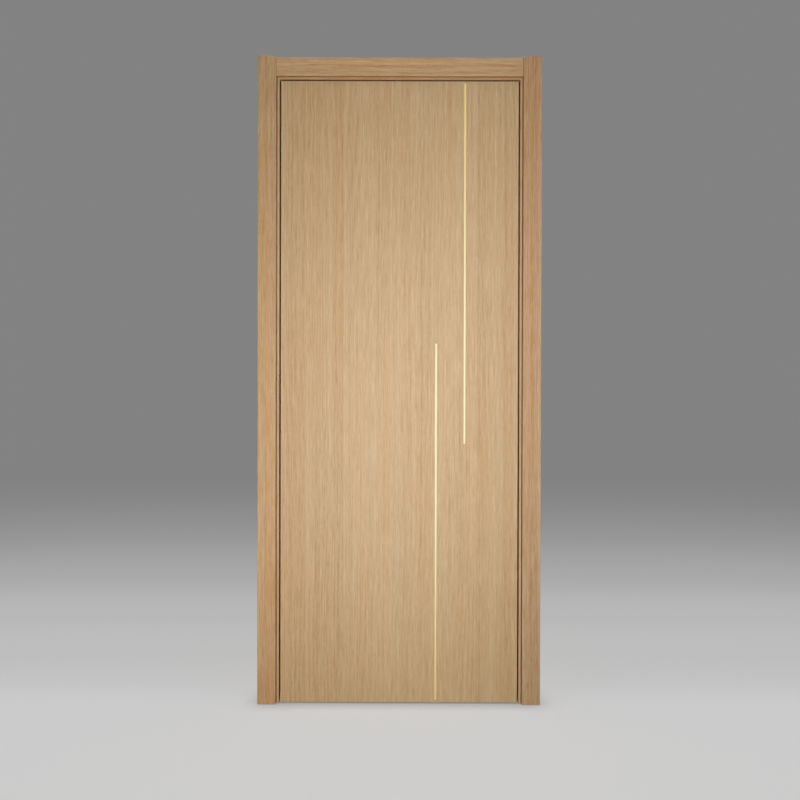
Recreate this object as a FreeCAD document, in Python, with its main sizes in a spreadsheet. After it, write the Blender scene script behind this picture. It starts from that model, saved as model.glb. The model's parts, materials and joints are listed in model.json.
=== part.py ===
import FreeCAD, Part
import Sketcher
import os
import re

# Interior door: a veneered leaf hung on concealed hinges in a lined frame with flat casings.
# X runs across the doorway, Y from the front face to the back, Z up from the floor.
# The origin lies on the outer face of the hinge jamb, at floor level, in the plane of the leaf's front.

os.makedirs("parts", exist_ok=True)
doc = FreeCAD.newDocument("interior_door")

SIZES = {
    # leaf
    "leaf_width": 800,
    "leaf_height": 2095,
    "leaf_thickness": 45,
    "leaf_gap": 5,
    "floor_gap": 5,
    "skin_thickness": 4,
    "stile_width": 70,
    "top_rail_height": 80,
    "bottom_rail_height": 120,
    # the small bevel on the edges of leaf, lip, stops and casings
    "edge_ease": 0.6,
    # metal inlays in the skins
    "inlay_width": 6,
    "inlay_depth": 1.5,
    "inlay_margin": 8,
    "upper_inlay_place": 620,
    "upper_inlay_foot": 874,
    "lower_inlay_place": 524,
    "lower_inlay_head": 1212,
    # frame lining
    "jamb_thickness": 40,
    "jamb_depth": 75,
    "wall_thickness": 120,
    "extension_thickness": 14,
    "lip_width": 7.5,
    "quirk_width": 3,
    "quirk_depth": 5,
    # tongue that joins each extension to the lining
    "tongue_thickness": 4,
    "tongue_length": 8,
    "tongue_play": 0.5,
    # stops and seals
    "stop_thickness": 12,
    "stop_clearance": 8,
    "seal_width": 8,
    "seal_proud": 3,
    "seal_root": 4,
    "seal_stem": 3,
    "seal_wall": 1,
    # casings
    "casing_width": 61,
    "casing_thickness": 13,
    "head_casing_thickness": 10,
    "casing_rise": 3.5,
    "casing_round": 2,
    "casing_land": 12,
    "casing_hollow": 1.5,
    "back_reveal": 4,
    # concealed hinges
    "hinge_inset": 220,
    "hinge_axis_out": 5,
    "hinge_body_height": 120,
    "hinge_body_depth": 33,
    "hinge_body_front": 6,
    "hinge_body_width": 28,
    "hinge_wall": 1.5,
    "hinge_shelf": 4,
    "hinge_outer_bay": 30,
    "hinge_plate_height": 160,
    "hinge_plate_thickness": 2.5,
    "screw_inset": 10,
    "screw_head_radius": 4.2,
    "screw_sink_depth": 2.2,
    "arm_pivot_in": 11,
    "arm_pivot_back": 18,
    "arm_reach": 40,
    "arm_rise": 12,
    "arm_slant": 5,
    "arm_half_width": 4,
    "arm_eye_radius": 5,
    "arm_play": 0.3,
    "pin_radius": 3,
    "pin_play": 0.05,
}

sheet = doc.addObject("Spreadsheet::Sheet", "sizes")
for row, (word, value) in enumerate(SIZES.items(), start=1):
    sheet.set(f"A{row}", word)
    sheet.set(f"B{row}", str(value))
    sheet.setAlias(f"B{row}", word)
doc.recompute()

# places that follow from the sizes
AXIS_X = "(jamb_thickness + leaf_gap/2)"
AXIS_Y = "(-hinge_axis_out)"
LEAF_X = "(jamb_thickness + leaf_gap)"
LOCK_FACE = "(jamb_thickness + 2*leaf_gap + leaf_width)"
FRAME_WIDTH = "(2*jamb_thickness + 2*leaf_gap + leaf_width)"
LEAF_TOP = "(floor_gap + leaf_height)"
HEAD_FACE = "(floor_gap + leaf_height + leaf_gap)"
FRAME_HEIGHT = "(floor_gap + leaf_height + leaf_gap + jamb_thickness)"
REVEAL = "(lip_width + quirk_width)"
STOP_FRONT = "(leaf_thickness + stop_clearance)"
EXTENSION_TOP = f"({HEAD_FACE} + extension_thickness)"
BULB_RADIUS = "((seal_width^2/4 + seal_proud^2)/(2*seal_proud))"
HINGE_HEIGHTS = {
    "top": f"({LEAF_TOP} - hinge_inset)",
    "middle": "(floor_gap + leaf_height/2)",
    "bottom": "(floor_gap + hinge_inset)",
}

nodes = []

# two places nearer than this are the same place
SAME_PLACE = 0.001
ALONG_X = FreeCAD.Rotation(FreeCAD.Vector(0, 1, 0), 90)
UPRIGHT = FreeCAD.Vector(0, 0, 1)


def bound(formula):
    """The formula with each size word pointing at its cell of the sheet."""
    return re.sub(r"[a-z][a-z_]+[a-z]", cell_of, formula)


def cell_of(match):
    word = match.group()
    return f"sizes.{word}" if word in SIZES else word


def place(obj, at):
    for letter, formula in zip("xyz", at):
        obj.setExpression(f"Placement.Base.{letter}", bound(formula))


def box(name, at, size):
    solid = doc.addObject("Part::Box", name)
    for prop, formula in zip(("Length", "Width", "Height"), size):
        solid.setExpression(prop, bound(formula))
    place(solid, at)
    return solid


def rod(name, at, radius, height, sector=None, turn=None):
    """An upright cylinder, or a sector of one that starts at an angle from +X."""
    solid = doc.addObject("Part::Cylinder", name)
    solid.setExpression("Radius", bound(radius))
    solid.setExpression("Height", bound(height))
    if sector:
        solid.setExpression("Angle", bound(sector))
        solid.Placement.Rotation = FreeCAD.Rotation(UPRIGHT, 1)
        solid.setExpression("Placement.Rotation.Angle", bound(turn))
    place(solid, at)
    return solid


def lying_rod(name, at, radius, length):
    """A cylinder along +X."""
    solid = doc.addObject("Part::Cylinder", name)
    solid.setExpression("Radius", bound(radius))
    solid.setExpression("Height", bound(length))
    solid.Placement.Rotation = ALONG_X
    place(solid, at)
    return solid


def lying_cone(name, at, low_radius, high_radius, length):
    """A cone along +X."""
    solid = doc.addObject("Part::Cone", name)
    solid.setExpression("Radius1", bound(low_radius))
    solid.setExpression("Radius2", bound(high_radius))
    solid.setExpression("Height", bound(length))
    solid.Placement.Rotation = ALONG_X
    place(solid, at)
    return solid


def fuse(name, parts):
    joined = doc.addObject("Part::MultiFuse", name)
    joined.Shapes = parts
    joined.Refine = True
    return joined


def common(name, base, tool):
    shared = doc.addObject("Part::Common", name)
    shared.Base = base
    shared.Tool = tool
    return shared


def cut(name, base, tools):
    result = doc.addObject("Part::Cut", name)
    result.Base = base
    result.Tool = tools[0] if len(tools) == 1 else fuse(name + "_tools", tools)
    return result


def node(obj, label):
    """Names a finished sub-part and keeps it for export."""
    obj.Label = label
    nodes.append(obj)
    return obj


def origin_plane(body, role):
    return next(f for f in body.Origin.OriginFeatures if f.Role == role)


def outline(body, name, role, corners):
    """A closed sketch whose corners are tied to formulas."""
    sketch = body.newObject("Sketcher::SketchObject", name)
    sketch.AttachmentSupport = [(origin_plane(body, role), "")]
    sketch.MapMode = "FlatFace"
    points = [FreeCAD.Vector(value_of(a), value_of(b), 0) for a, b in corners]
    count = len(points)
    for i in range(count):
        sketch.addGeometry(Part.LineSegment(points[i], points[(i + 1) % count]), False)
    for i in range(count):
        sketch.addConstraint(Sketcher.Constraint("Coincident", i, 2, (i + 1) % count, 1))
    for i, pair in enumerate(corners):
        for kind, formula in zip(("DistanceX", "DistanceY"), pair):
            number = sketch.addConstraint(Sketcher.Constraint(kind, -1, 1, i, 1, value_of(formula)))
            sketch.setExpression(f"Constraints[{number}]", bound(formula))
    return sketch


def value_of(formula):
    """The formula's value with the sheet's present sizes."""
    probe = bound(formula)
    return float(doc.getObject("sizes").evalExpression(probe))


def board(name, role, corners, start, depth):
    """A board padded from an outline on one of the origin planes."""
    body = doc.addObject("PartDesign::Body", name)
    sketch = outline(body, name + "_outline", role, corners)
    pad = body.newObject("PartDesign::Pad", name + "_pad")
    pad.Profile = sketch
    pad.setExpression("Length", bound(depth))
    pad.Reversed = role == "XZ_Plane"
    letter = {"XY_Plane": "z", "XZ_Plane": "y", "YZ_Plane": "x"}[role]
    body.setExpression(f"Placement.Base.{letter}", bound(start))
    return body


def bar(name, at, size):
    """A board that starts as a plain block, ready for its edges to be eased."""
    body = doc.addObject("PartDesign::Body", name)
    block = body.newObject("PartDesign::AdditiveBox", name + "_block")
    for prop, formula in zip(("Length", "Width", "Height"), size):
        block.setExpression(prop, bound(formula))
    place(body, at)
    return body


def ease(body, kind, axis, lines, size):
    """A Fillet or Chamfer on the edges that run along an axis through places in the body's coordinates."""
    doc.recompute()
    base = body.Tip
    across = ["xyz".index(letter) for letter in "xyz" if letter != axis]
    names = []
    for line in lines:
        spot = [value_of(formula) for formula in line]
        for number, edge in enumerate(base.Shape.Edges, start=1):
            ends = [vertex.Point for vertex in edge.Vertexes]
            if all(abs(end[i] - want) < SAME_PLACE for end in ends for i, want in zip(across, spot)):
                names.append(f"Edge{number}")
    eased = body.newObject(f"PartDesign::{kind}", f"{body.Name}_{kind}_{axis}".lower())
    eased.Base = (base, names)
    eased.setExpression("Radius" if kind == "Fillet" else "Size", bound(size))
    return body


def tongues(name, play):
    """The three tongues that join the extensions to the lining, or with play the grooves for them."""
    inset = "((extension_thickness - tongue_thickness)/2)"
    front = f"jamb_depth - tongue_length - {play}"
    depth = f"tongue_length + {play}"
    return {
        "hinge_side": box(
            name + "_hinge_side",
            (f"jamb_thickness - {inset} - tongue_thickness", front, "0"),
            ("tongue_thickness", depth, EXTENSION_TOP),
        ),
        "lock_side": box(
            name + "_lock_side",
            (f"{LOCK_FACE} + {inset}", front, "0"),
            ("tongue_thickness", depth, EXTENSION_TOP),
        ),
        "head": box(
            name + "_head",
            ("jamb_thickness", front, f"{HEAD_FACE} + {inset}"),
            (f"{LOCK_FACE} - jamb_thickness", depth, "tongue_thickness"),
        ),
    }


def frame_lining():
    """Jambs and head, mitred: an eased lip, the quirk that sets it off and grooves for the extensions."""
    outlines = {
        "jamb_hinge_side": [
            ("0", "0"),
            ("jamb_thickness", "0"),
            ("jamb_thickness", HEAD_FACE),
            ("0", FRAME_HEIGHT),
        ],
        "jamb_lock_side": [
            (LOCK_FACE, "0"),
            (FRAME_WIDTH, "0"),
            (FRAME_WIDTH, FRAME_HEIGHT),
            (LOCK_FACE, HEAD_FACE),
        ],
        "jamb_head": [
            ("jamb_thickness", HEAD_FACE),
            (LOCK_FACE, HEAD_FACE),
            (FRAME_WIDTH, FRAME_HEIGHT),
            ("0", FRAME_HEIGHT),
        ],
    }
    lips = {
        "jamb_hinge_side": ("z", ("jamb_thickness", "0")),
        "jamb_lock_side": ("z", (LOCK_FACE, "0")),
        "jamb_head": ("x", ("0", HEAD_FACE)),
    }
    for name, corners in outlines.items():
        blank = board(name + "_blank", "XZ_Plane", corners, "0", "jamb_depth")
        axis, lip = lips[name]
        ease(blank, "Chamfer", axis, [lip], "edge_ease")
        low = "-quirk_depth"
        left = f"jamb_thickness - {REVEAL}"
        upright = ("quirk_width", "2*quirk_depth", f"quirk_depth + {HEAD_FACE} + {REVEAL}")
        across = (f"{LOCK_FACE} - jamb_thickness + 2*{REVEAL}", "2*quirk_depth", "quirk_width")
        tools = [
            box(name + "_quirk_left", (left, low, low), upright),
            box(name + "_quirk_right", (f"{LOCK_FACE} + lip_width", low, low), upright),
            box(name + "_quirk_head", (left, low, f"{HEAD_FACE} + lip_width"), across),
        ]
        tools += tongues(name + "_groove", "tongue_play").values()
        if name == "jamb_hinge_side":
            for where, height in HINGE_HEIGHTS.items():
                tools += hinge_recess(name + "_" + where, -1, height)
        node(cut(name, blank, tools), name)


def extensions():
    """Thin boards that carry the lining through to the back of the wall, tongued into it."""
    depth = "wall_thickness - jamb_depth"
    boards = {
        "hinge_side": (
            ("jamb_thickness - extension_thickness", "jamb_depth", "0"),
            ("extension_thickness", depth, EXTENSION_TOP),
        ),
        "lock_side": (
            (LOCK_FACE, "jamb_depth", "0"),
            ("extension_thickness", depth, EXTENSION_TOP),
        ),
        "head": (
            ("jamb_thickness", "jamb_depth", HEAD_FACE),
            (f"{LOCK_FACE} - jamb_thickness", depth, "extension_thickness"),
        ),
    }
    for side, tongue in tongues("extension_tongue", "0").items():
        name = f"extension_{side}"
        plain = box(name + "_board", *boards[side])
        node(fuse(name, [plain, tongue]), name)


def stops():
    """Planted stops behind the leaf, their front and back edges eased, grooved for the seals."""
    depth = f"jamb_depth - {STOP_FRONT}"
    span = f"({LOCK_FACE} - jamb_thickness - 2*stop_thickness)"
    plan = {
        "stop_hinge_side": (
            ("jamb_thickness", STOP_FRONT, "0"),
            ("stop_thickness", depth, HEAD_FACE),
            "z",
            [("stop_thickness", "0"), ("stop_thickness", depth)],
        ),
        "stop_lock_side": (
            (f"{LOCK_FACE} - stop_thickness", STOP_FRONT, "0"),
            ("stop_thickness", depth, HEAD_FACE),
            "z",
            [("0", "0"), ("0", depth)],
        ),
        "stop_head": (
            ("jamb_thickness + stop_thickness", STOP_FRONT, f"{HEAD_FACE} - stop_thickness"),
            (span, depth, "stop_thickness"),
            "x",
            [("0", "0"), (depth, "0")],
        ),
    }
    for name, (at, size, axis, edges) in plan.items():
        blank = bar(name + "_blank", at, size)
        ease(blank, "Chamfer", axis, edges, "edge_ease")
        node(cut(name, blank, list(seal_stems(name + "_groove").values())), name)


SEAL_EDGE = "((stop_thickness - seal_width)/2)"
SEAL_TOP = f"({HEAD_FACE} - {SEAL_EDGE})"
SEAL_LEFT = f"(jamb_thickness + {SEAL_EDGE})"
SEAL_RIGHT = f"({LOCK_FACE} - {SEAL_EDGE})"


def seal_stems(name):
    """The stems of the three seals, as blocks that meet at the corners."""
    inset = "((stop_thickness - seal_stem)/2)"
    top = f"({HEAD_FACE} - {inset})"
    left = f"(jamb_thickness + {inset})"
    right = f"({LOCK_FACE} - {inset})"
    return {
        "hinge_side": box(name + "_hinge_side", (left, STOP_FRONT, "0"), ("seal_stem", "seal_root", top)),
        "lock_side": box(
            name + "_lock_side",
            (f"{right} - seal_stem", STOP_FRONT, "0"),
            ("seal_stem", "seal_root", top),
        ),
        "head": box(
            name + "_head",
            (left, STOP_FRONT, f"{top} - seal_stem"),
            (f"{right} - {left}", "seal_root", "seal_stem"),
        ),
    }


def seals():
    """Rubber seals: a hollow bulb in front of the stop on a stem in its groove, mitred at the corners."""
    front = f"({STOP_FRONT} - seal_proud)"
    heart = f"({front} + {BULB_RADIUS})"
    inner_radius = f"{BULB_RADIUS} - seal_wall"
    low_top = f"({SEAL_TOP} - seal_width)"
    outlines = {
        "hinge_side": [
            (SEAL_LEFT, "0"),
            (f"{SEAL_LEFT} + seal_width", "0"),
            (f"{SEAL_LEFT} + seal_width", low_top),
            (SEAL_LEFT, SEAL_TOP),
        ],
        "lock_side": [
            (f"{SEAL_RIGHT} - seal_width", "0"),
            (SEAL_RIGHT, "0"),
            (SEAL_RIGHT, SEAL_TOP),
            (f"{SEAL_RIGHT} - seal_width", low_top),
        ],
        "head": [
            (f"{SEAL_LEFT} + seal_width", low_top),
            (f"{SEAL_RIGHT} - seal_width", low_top),
            (SEAL_RIGHT, SEAL_TOP),
            (SEAL_LEFT, SEAL_TOP),
        ],
    }
    middles = {
        "hinge_side": f"({SEAL_LEFT} + seal_width/2)",
        "lock_side": f"({SEAL_RIGHT} - seal_width/2)",
        "head": f"({SEAL_TOP} - seal_width/2)",
    }
    stems = seal_stems("seal_stem")
    for side, corners in outlines.items():
        name = f"seal_{side}"
        bulb = common(
            name + "_bulb",
            seal_bar(name + "_round", side, middles[side], heart, BULB_RADIUS),
            board(name + "_bulb_block", "XZ_Plane", corners, front, "seal_proud"),
        )
        bore = common(
            name + "_bore",
            seal_bar(name + "_bore_round", side, middles[side], heart, inner_radius),
            board(name + "_bore_block", "XZ_Plane", corners, front, "seal_proud - seal_wall"),
        )
        stem = common(
            name + "_stem",
            stems[side],
            board(name + "_stem_block", "XZ_Plane", corners, STOP_FRONT, "seal_root"),
        )
        node(fuse(name, [cut(name + "_hollow_bulb", bulb, [bore]), stem]), name)


def seal_bar(name, side, middle, heart, radius):
    """A round bar along one seal, from which its bulb or the bulb's hollow is taken."""
    if side == "head":
        return lying_rod(name, (SEAL_LEFT, heart, middle), radius, f"{SEAL_RIGHT} - {SEAL_LEFT}")
    return rod(name, (middle, heart, "0"), radius, SEAL_TOP)


def casings():
    """Flat casings: the sides run past the head, which is thinner and sits between them."""
    for face, reveal in (("front", REVEAL), ("back", "back_reveal")):
        left = f"(jamb_thickness - {reveal})"
        right = f"({LOCK_FACE} + {reveal})"
        foot = f"({HEAD_FACE} + {reveal})"
        height = f"({foot} + casing_width + casing_rise)"
        casing(face, "hinge_side", left, "-1", "0", height)
        casing(face, "lock_side", right, "1", "0", height)
        casing(face, "head", foot, "1", left, f"{right} - {left}")


def casing(face, side, inner, way, start, length):
    """A board with a hollow back, its outer front edge rounded and its inner one eased."""
    name = f"casing_{face}_{side}"
    wall, out = ("0", "-1") if face == "front" else ("wall_thickness", "1")
    thickness = "head_casing_thickness" if side == "head" else "casing_thickness"
    outer = f"({inner} + ({way})*casing_width)"
    land_in = f"({inner} + ({way})*casing_land)"
    land_out = f"({outer} - ({way})*casing_land)"
    show = f"({wall} + ({out})*{thickness})"
    hollow = f"({wall} + ({out})*casing_hollow)"
    section = [
        (inner, wall),
        (land_in, wall),
        (land_in, hollow),
        (land_out, hollow),
        (land_out, wall),
        (outer, wall),
        (outer, show),
        (inner, show),
    ]
    if side == "head":
        body = board(name, "YZ_Plane", [(depth, rise) for rise, depth in section], start, length)
        ease(body, "Fillet", "x", [(show, outer)], "casing_round")
        ease(body, "Chamfer", "x", [(show, inner)], "edge_ease")
    else:
        body = board(name, "XY_Plane", section, start, length)
        ease(body, "Fillet", "z", [(outer, show)], "casing_round")
        ease(body, "Chamfer", "z", [(inner, show)], "edge_ease")
    node(body, name)


def inlay_places(face):
    """Place and size of the two metal strips on one face of the leaf."""
    front = "0" if face == "front" else "(leaf_thickness - inlay_depth)"
    foot = "(floor_gap + inlay_margin)"
    return {
        f"inlay_{face}_upper": (
            (f"{LEAF_X} + upper_inlay_place - inlay_width/2", front, "floor_gap + upper_inlay_foot"),
            ("inlay_width", "inlay_depth", "leaf_height - inlay_margin - upper_inlay_foot"),
        ),
        f"inlay_{face}_lower": (
            (f"{LEAF_X} + lower_inlay_place - inlay_width/2", front, foot),
            ("inlay_width", "inlay_depth", "lower_inlay_head - inlay_margin"),
        ),
    }


def leaf():
    """The leaf: a core between stiles and rails, a veneered skin on each face, strips let into the skins."""
    core_depth = "(leaf_thickness - 2*skin_thickness)"
    for face, start, show in (
        ("front", "0", "0"),
        ("back", "leaf_thickness - skin_thickness", "skin_thickness"),
    ):
        blank = bar(
            f"leaf_skin_{face}_blank",
            (LEAF_X, start, "floor_gap"),
            ("leaf_width", "skin_thickness", "leaf_height"),
        )
        ease(blank, "Chamfer", "z", [("0", show), ("leaf_width", show)], "edge_ease")
        ease(blank, "Chamfer", "x", [(show, "0"), (show, "leaf_height")], "edge_ease")
        strips = inlay_places(face)
        tools = [box(f"{name}_groove", *spot) for name, spot in strips.items()]
        node(cut(f"leaf_skin_{face}", blank, tools), f"leaf_skin_{face}")
        for name, spot in strips.items():
            node(box(name, *spot), name)
    hinge_stile = box(
        "leaf_stile_hinge_side_blank",
        (LEAF_X, "skin_thickness", "floor_gap"),
        ("stile_width", core_depth, "leaf_height"),
    )
    tools = []
    for where, height in HINGE_HEIGHTS.items():
        tools += hinge_recess("leaf_stile_" + where, 1, height)
    node(cut("leaf_stile_hinge_side", hinge_stile, tools), "leaf_stile_hinge_side")
    node(
        box(
            "leaf_stile_lock_side",
            (f"{LEAF_X} + leaf_width - stile_width", "skin_thickness", "floor_gap"),
            ("stile_width", core_depth, "leaf_height"),
        ),
        "leaf_stile_lock_side",
    )
    inner = f"({LEAF_X} + stile_width)"
    span = "(leaf_width - 2*stile_width)"
    node(
        box(
            "leaf_rail_top",
            (inner, "skin_thickness", f"{LEAF_TOP} - top_rail_height"),
            (span, core_depth, "top_rail_height"),
        ),
        "leaf_rail_top",
    )
    node(
        box(
            "leaf_rail_bottom",
            (inner, "skin_thickness", "floor_gap"),
            (span, core_depth, "bottom_rail_height"),
        ),
        "leaf_rail_bottom",
    )
    node(
        box(
            "leaf_core",
            (inner, "skin_thickness", "floor_gap + bottom_rail_height"),
            (span, core_depth, "leaf_height - bottom_rail_height - top_rail_height"),
        ),
        "leaf_core",
    )


def hinge_side_x(side, near, depth):
    """Low X of something that lies from near to near + depth beyond the middle of the gap."""
    if side > 0:
        return f"({AXIS_X} + {near})"
    return f"({AXIS_X} - {near} - {depth})"


def hinge_recess(name, side, height):
    """The room that a hinge body and its round-ended face plate take in the wood."""
    near = "leaf_gap/2"
    low_x = hinge_side_x(side, near, "hinge_plate_thickness")
    block_x = hinge_side_x(side, near, "hinge_body_depth")
    middle = "hinge_body_front + hinge_body_width/2"
    straight = "(hinge_plate_height - hinge_body_width)"
    parts = [
        box(
            name + "_block",
            (block_x, "hinge_body_front", f"{height} - hinge_body_height/2"),
            ("hinge_body_depth", "hinge_body_width", "hinge_body_height"),
        ),
        box(
            name + "_plate",
            (low_x, "hinge_body_front", f"{height} - {straight}/2"),
            ("hinge_plate_thickness", "hinge_body_width", straight),
        ),
    ]
    for end, sign in (("upper", "+"), ("lower", "-")):
        spot = (low_x, middle, f"{height} {sign} {straight}/2")
        parts.append(lying_rod(f"{name}_{end}_end", spot, "hinge_body_width/2", "hinge_plate_thickness"))
    return parts


def screw_sinks(name, side, height):
    """Sinks for the screw heads in a face plate, one near each end."""
    low_x = hinge_side_x(side, "leaf_gap/2", "screw_sink_depth")
    middle = "hinge_body_front + hinge_body_width/2"
    radii = ["screw_head_radius", "0"]
    if side < 0:
        radii.reverse()
    sinks = []
    for end, sign in (("upper", "+"), ("lower", "-")):
        spot = (low_x, middle, f"{height} {sign} (hinge_plate_height/2 - screw_inset)")
        sinks.append(lying_cone(f"{name}_{end}_sink", spot, *radii, "screw_sink_depth"))
    return sinks


def hinge_bays():
    """Height above the hinge's middle and height of each bay that an arm folds into."""
    outer = "hinge_body_height/2 - hinge_shelf - hinge_outer_bay"
    inner = "hinge_body_height/2 - 2*hinge_shelf - hinge_outer_bay"
    return {
        "upper": (f"({outer})", "hinge_outer_bay"),
        "lower": (f"(-({outer}) - hinge_outer_bay)", "hinge_outer_bay"),
        "centre": (f"(-({inner}))", f"(2*({inner}))"),
    }


def hinge_body(name, side, height):
    """A cast body with a face plate and three bays, and the pins that its own arms turn on."""
    bays = hinge_bays()
    deep = "(leaf_gap/2 + hinge_body_depth - hinge_wall)"
    bay_x = hinge_side_x(side, "0", deep)
    tools = [
        box(
            f"{name}_bay_{bay}",
            (bay_x, "hinge_body_front + hinge_wall", f"{height} + {low}"),
            (deep, "hinge_body_width - 2*hinge_wall", tall),
        )
        for bay, (low, tall) in bays.items()
    ]
    tools += screw_sinks(name, side, height)
    blank = fuse(name + "_blank", hinge_recess(name, side, height))
    shell = cut(name + "_shell", blank, tools)
    pin_x = f"{AXIS_X} {'+' if side > 0 else '-'} arm_pivot_in"
    pins = [
        rod(
            f"{name}_pin_{bay}",
            (pin_x, f"{AXIS_Y} + arm_pivot_back", f"{height} + {low}"),
            "pin_radius",
            tall,
        )
        for bay, (low, tall) in bays.items()
        if (bay == "centre") == (side > 0)
    ]
    node(fuse(name, [shell] + pins), name)


ARM_RADIUS = "((arm_reach^2/4 + arm_rise^2)/(2*arm_rise))"
ARM_BASE_ANGLE = f"(atan(({ARM_RADIUS} - arm_rise)/(arm_reach/2)))"


def hinge_arm(name, side, height, bay):
    """A curved arm: an eye on its pin at one end, a rounded heel that glides in the far body at the other."""
    low, tall = hinge_bays()[bay]
    mirror = "1" if side < 0 else "-1"
    pivot_x = f"({AXIS_X} - {mirror}*arm_pivot_in)"
    pivot_y = f"({AXIS_Y} + arm_pivot_back)"
    drop = f"({ARM_RADIUS} - arm_rise)"
    centre_x = f"({pivot_x} + {mirror}*(arm_reach/2*cos(arm_slant) + {drop}*sin(arm_slant)))"
    centre_y = f"({pivot_y} + arm_reach/2*sin(arm_slant) - {drop}*cos(arm_slant))"
    heel_x = f"({pivot_x} + {mirror}*arm_reach*cos(arm_slant))"
    heel_y = f"({pivot_y} + arm_reach*sin(arm_slant))"
    sector = f"(180 deg - 2*{ARM_BASE_ANGLE})"
    turn = f"({ARM_BASE_ANGLE} - arm_slant*1 deg)" if side > 0 else f"({ARM_BASE_ANGLE} + arm_slant*1 deg)"
    foot = f"{height} + {low} + arm_play"
    thick = f"{tall} - 2*arm_play"
    centre = (centre_x, centre_y, foot)
    outer = rod(name + "_outer", centre, f"{ARM_RADIUS} + arm_half_width", thick, sector, turn)
    inner = rod(name + "_inner", centre, f"{ARM_RADIUS} - arm_half_width", thick)
    eye = rod(name + "_eye", (pivot_x, pivot_y, foot), "arm_eye_radius", thick)
    heel = rod(name + "_heel", (heel_x, heel_y, foot), "arm_half_width", thick)
    bore = rod(name + "_bore", (pivot_x, pivot_y, foot), "pin_radius + pin_play", thick)
    bow = cut(name + "_bow", outer, [inner])
    return cut(name, fuse(name + "_blank", [bow, eye, heel]), [bore])


def hinges():
    """Three concealed hinges, each with a body in the jamb, one in the leaf, and arms across the gap."""
    for where, height in HINGE_HEIGHTS.items():
        hinge_body(f"hinge_{where}_frame_body", -1, height)
        hinge_body(f"hinge_{where}_leaf_body", 1, height)
        pair = [
            hinge_arm(f"hinge_{where}_frame_arm_{bay}", -1, height, bay)
            for bay in ("upper", "lower")
        ]
        node(fuse(f"hinge_{where}_frame_arms", pair), f"hinge_{where}_frame_arms")
        node(hinge_arm(f"hinge_{where}_leaf_arm", 1, height, "centre"), f"hinge_{where}_leaf_arm")


frame_lining()
extensions()
stops()
seals()
casings()
leaf()
hinges()
doc.recompute()

for obj in doc.Objects:
    if "Invalid" in obj.State or "Error" in obj.State:
        raise RuntimeError(f"{obj.Name} failed: {obj.State}")
for obj in nodes:
    if obj.Shape.isNull() or not obj.Shape.isValid():
        raise RuntimeError(f"{obj.Label} has no valid shape")
for obj in nodes:
    obj.Shape.exportStep(f"parts/{obj.Label}.step")
print(len(nodes), "sub-parts")
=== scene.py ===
import json
import math
from typing import NamedTuple

import bmesh
import bpy
from mathutils import Matrix, Vector

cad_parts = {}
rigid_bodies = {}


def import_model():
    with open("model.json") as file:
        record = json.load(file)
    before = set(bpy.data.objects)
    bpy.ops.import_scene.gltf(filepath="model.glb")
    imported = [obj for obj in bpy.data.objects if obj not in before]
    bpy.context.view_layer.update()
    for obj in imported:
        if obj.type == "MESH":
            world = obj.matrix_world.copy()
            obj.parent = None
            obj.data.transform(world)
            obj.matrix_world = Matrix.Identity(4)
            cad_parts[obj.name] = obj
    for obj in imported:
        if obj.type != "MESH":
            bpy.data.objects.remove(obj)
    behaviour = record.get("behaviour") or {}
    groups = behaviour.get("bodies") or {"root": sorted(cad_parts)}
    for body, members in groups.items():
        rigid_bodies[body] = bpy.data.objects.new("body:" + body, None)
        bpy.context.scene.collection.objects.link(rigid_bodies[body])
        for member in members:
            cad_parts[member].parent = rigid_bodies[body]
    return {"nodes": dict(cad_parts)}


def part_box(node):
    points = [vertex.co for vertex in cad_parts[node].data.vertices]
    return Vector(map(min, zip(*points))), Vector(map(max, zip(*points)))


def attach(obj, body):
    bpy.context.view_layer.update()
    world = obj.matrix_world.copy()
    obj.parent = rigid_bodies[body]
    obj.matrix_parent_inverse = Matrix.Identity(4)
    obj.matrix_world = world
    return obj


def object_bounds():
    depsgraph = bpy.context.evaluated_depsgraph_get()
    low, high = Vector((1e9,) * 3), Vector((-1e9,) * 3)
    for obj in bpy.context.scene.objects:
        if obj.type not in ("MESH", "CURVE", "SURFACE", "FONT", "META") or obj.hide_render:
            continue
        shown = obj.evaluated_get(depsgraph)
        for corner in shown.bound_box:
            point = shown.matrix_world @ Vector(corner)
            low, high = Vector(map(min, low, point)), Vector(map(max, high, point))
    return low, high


# Interior door: a veneered leaf with slim brass inlays, hung on concealed hinges in a lined frame.
# Every size is in metres. X runs across the doorway, Y from the front to the back, Z up.

bl_info = {
    "name": "Interior door",
    "version": (1, 0, 0),
    "blender": (4, 5, 0),
    "location": "3D View > Sidebar > Door",
    "description": "Veneer, brass, rubber and metal finishes, hinge screws and a studio for the door",
    "category": "Object",
}

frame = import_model()
CAD_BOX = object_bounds()

HINGES = ("top", "middle", "bottom")
SIDES = ("hinge_side", "lock_side", "head")
FRAME_BOARDS = ("jamb", "extension", "stop", "casing_front", "casing_back")
# the middle of the door across and through
MIDDLE_X = (CAD_BOX[0][0] + CAD_BOX[1][0]) / 2
MIDDLE_Y = (CAD_BOX[0][1] + CAD_BOX[1][1]) / 2


# Shader maths

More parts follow.
